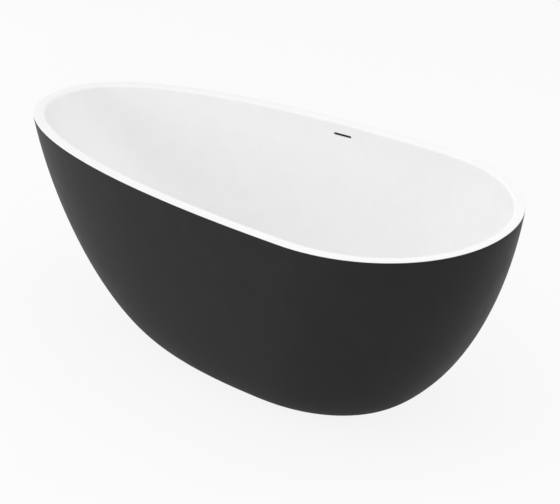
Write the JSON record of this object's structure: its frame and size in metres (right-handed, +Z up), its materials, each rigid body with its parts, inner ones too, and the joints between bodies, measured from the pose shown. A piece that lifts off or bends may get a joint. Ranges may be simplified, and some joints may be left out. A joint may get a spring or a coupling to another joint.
{
  "type": "freestanding bathtub",
  "caption": "Freestanding egg-shaped bathtub with a white basin in a charcoal outer skirt, on a steel frame with levelling feet, with a pop-up plug and an overflow slot.",
  "frame": {"origin": "on the floor, under the middle of the tub's length and width", "axes": "+X along the tub towards its wide end, +Y towards the wall with the overflow slot, +Z up"},
  "size_m": [1.7, 0.825, 0.65],
  "materials": {
    "white_acrylic": "smooth satin-gloss white sanitary acrylic",
    "charcoal_acrylic": "satin charcoal-grey acrylic, fine even texture",
    "sealant": "cured white bonding sealant",
    "plywood": "unvarnished plywood, grain along the tub",
    "galvanised_steel": "galvanised steel with a fine spangle",
    "zinc_fixings": "bright zinc plating, turned marks",
    "chrome": "polished chrome plate",
    "black_plastic": "moulded black plastic, fine grain",
    "grey_plastic": "ribbed grey hose plastic",
    "white_plastic": "moulded white plastic",
    "black_rubber": "matt black rubber",
    "spring_steel": "drawn spring wire"
  },
  "bodies": {
    "tub": {"outer_skirt": "charcoal_acrylic", "inner_basin": "white_acrylic", "rim_batten": "plywood", "rim_bond_bead": "sealant", "base_board": "plywood", "frame_rail_left": "galvanised_steel", "frame_rail_right": "galvanised_steel", "frame_cross_narrow": "galvanised_steel", "frame_cross_wide": "galvanised_steel", "frame_cross_middle": "galvanised_steel", "skirt_bracket_narrow_left": "galvanised_steel", "skirt_screw_narrow_left": "zinc_fixings", "board_screw_narrow_left": "zinc_fixings", "skirt_bracket_narrow_right": "galvanised_steel", "skirt_screw_narrow_right": "zinc_fixings", "board_screw_narrow_right": "zinc_fixings", "skirt_bracket_wide_left": "galvanised_steel", "skirt_screw_wide_left": "zinc_fixings", "board_screw_wide_left": "zinc_fixings", "skirt_bracket_wide_right": "galvanised_steel", "skirt_screw_wide_right": "zinc_fixings", "board_screw_wide_right": "zinc_fixings", "foot_bush_narrow_left": "galvanised_steel", "foot_lock_nut_narrow_left": "zinc_fixings", "foot_bush_narrow_right": "galvanised_steel", "foot_lock_nut_narrow_right": "zinc_fixings", "foot_bush_wide_left": "galvanised_steel", "foot_lock_nut_wide_left": "zinc_fixings", "foot_bush_wide_right": "galvanised_steel", "foot_lock_nut_wide_right": "zinc_fixings", "foot_bush_middle": "galvanised_steel", "foot_lock_nut_middle": "zinc_fixings", "waste_flange": "chrome", "waste_flange_seal": "black_rubber", "waste_body_seal": "black_rubber", "waste_body": "black_plastic", "waste_tail": "white_plastic", "waste_tail_nut": "black_plastic", "plug_cartridge": "white_plastic", "plug_spring": "spring_steel", "overflow_gasket": "black_rubber", "overflow_channel": "black_plastic", "overflow_hose": "grey_plastic", "hose_clip_upper": "zinc_fixings", "hose_clip_lower": "zinc_fixings"},
    "foot_narrow_left": {"foot_screw_narrow_left": "zinc_fixings", "foot_pad_narrow_left": "black_rubber"},
    "foot_narrow_right": {"foot_screw_narrow_right": "zinc_fixings", "foot_pad_narrow_right": "black_rubber"},
    "foot_wide_left": {"foot_screw_wide_left": "zinc_fixings", "foot_pad_wide_left": "black_rubber"},
    "foot_wide_right": {"foot_screw_wide_right": "zinc_fixings", "foot_pad_wide_right": "black_rubber"},
    "foot_middle": {"foot_screw_middle": "zinc_fixings", "foot_pad_middle": "black_rubber"},
    "plug": {"plug_cap": "chrome", "plug_seal": "black_rubber", "plug_stem": "chrome"}
  },
  "joints": [
    {"name": "foot_narrow_left_height", "type": "slide", "parent": "tub", "child": "foot_narrow_left", "axis": [0, 0, 1], "range_m": [-0.01, 0.01]},
    {"name": "foot_narrow_right_height", "type": "slide", "parent": "tub", "child": "foot_narrow_right", "axis": [0, 0, 1], "range_m": [-0.01, 0.01]},
    {"name": "foot_wide_left_height", "type": "slide", "parent": "tub", "child": "foot_wide_left", "axis": [0, 0, 1], "range_m": [-0.01, 0.01]},
    {"name": "foot_wide_right_height", "type": "slide", "parent": "tub", "child": "foot_wide_right", "axis": [0, 0, 1], "range_m": [-0.01, 0.01]},
    {"name": "foot_middle_height", "type": "slide", "parent": "tub", "child": "foot_middle", "axis": [0, 0, 1], "range_m": [-0.01, 0.01]},
    {"name": "plug_lift", "type": "slide", "parent": "tub", "child": "plug", "axis": [0, 0, 1], "range_m": [0, 0.01], "deforming": ["plug_spring"]}
  ]
}
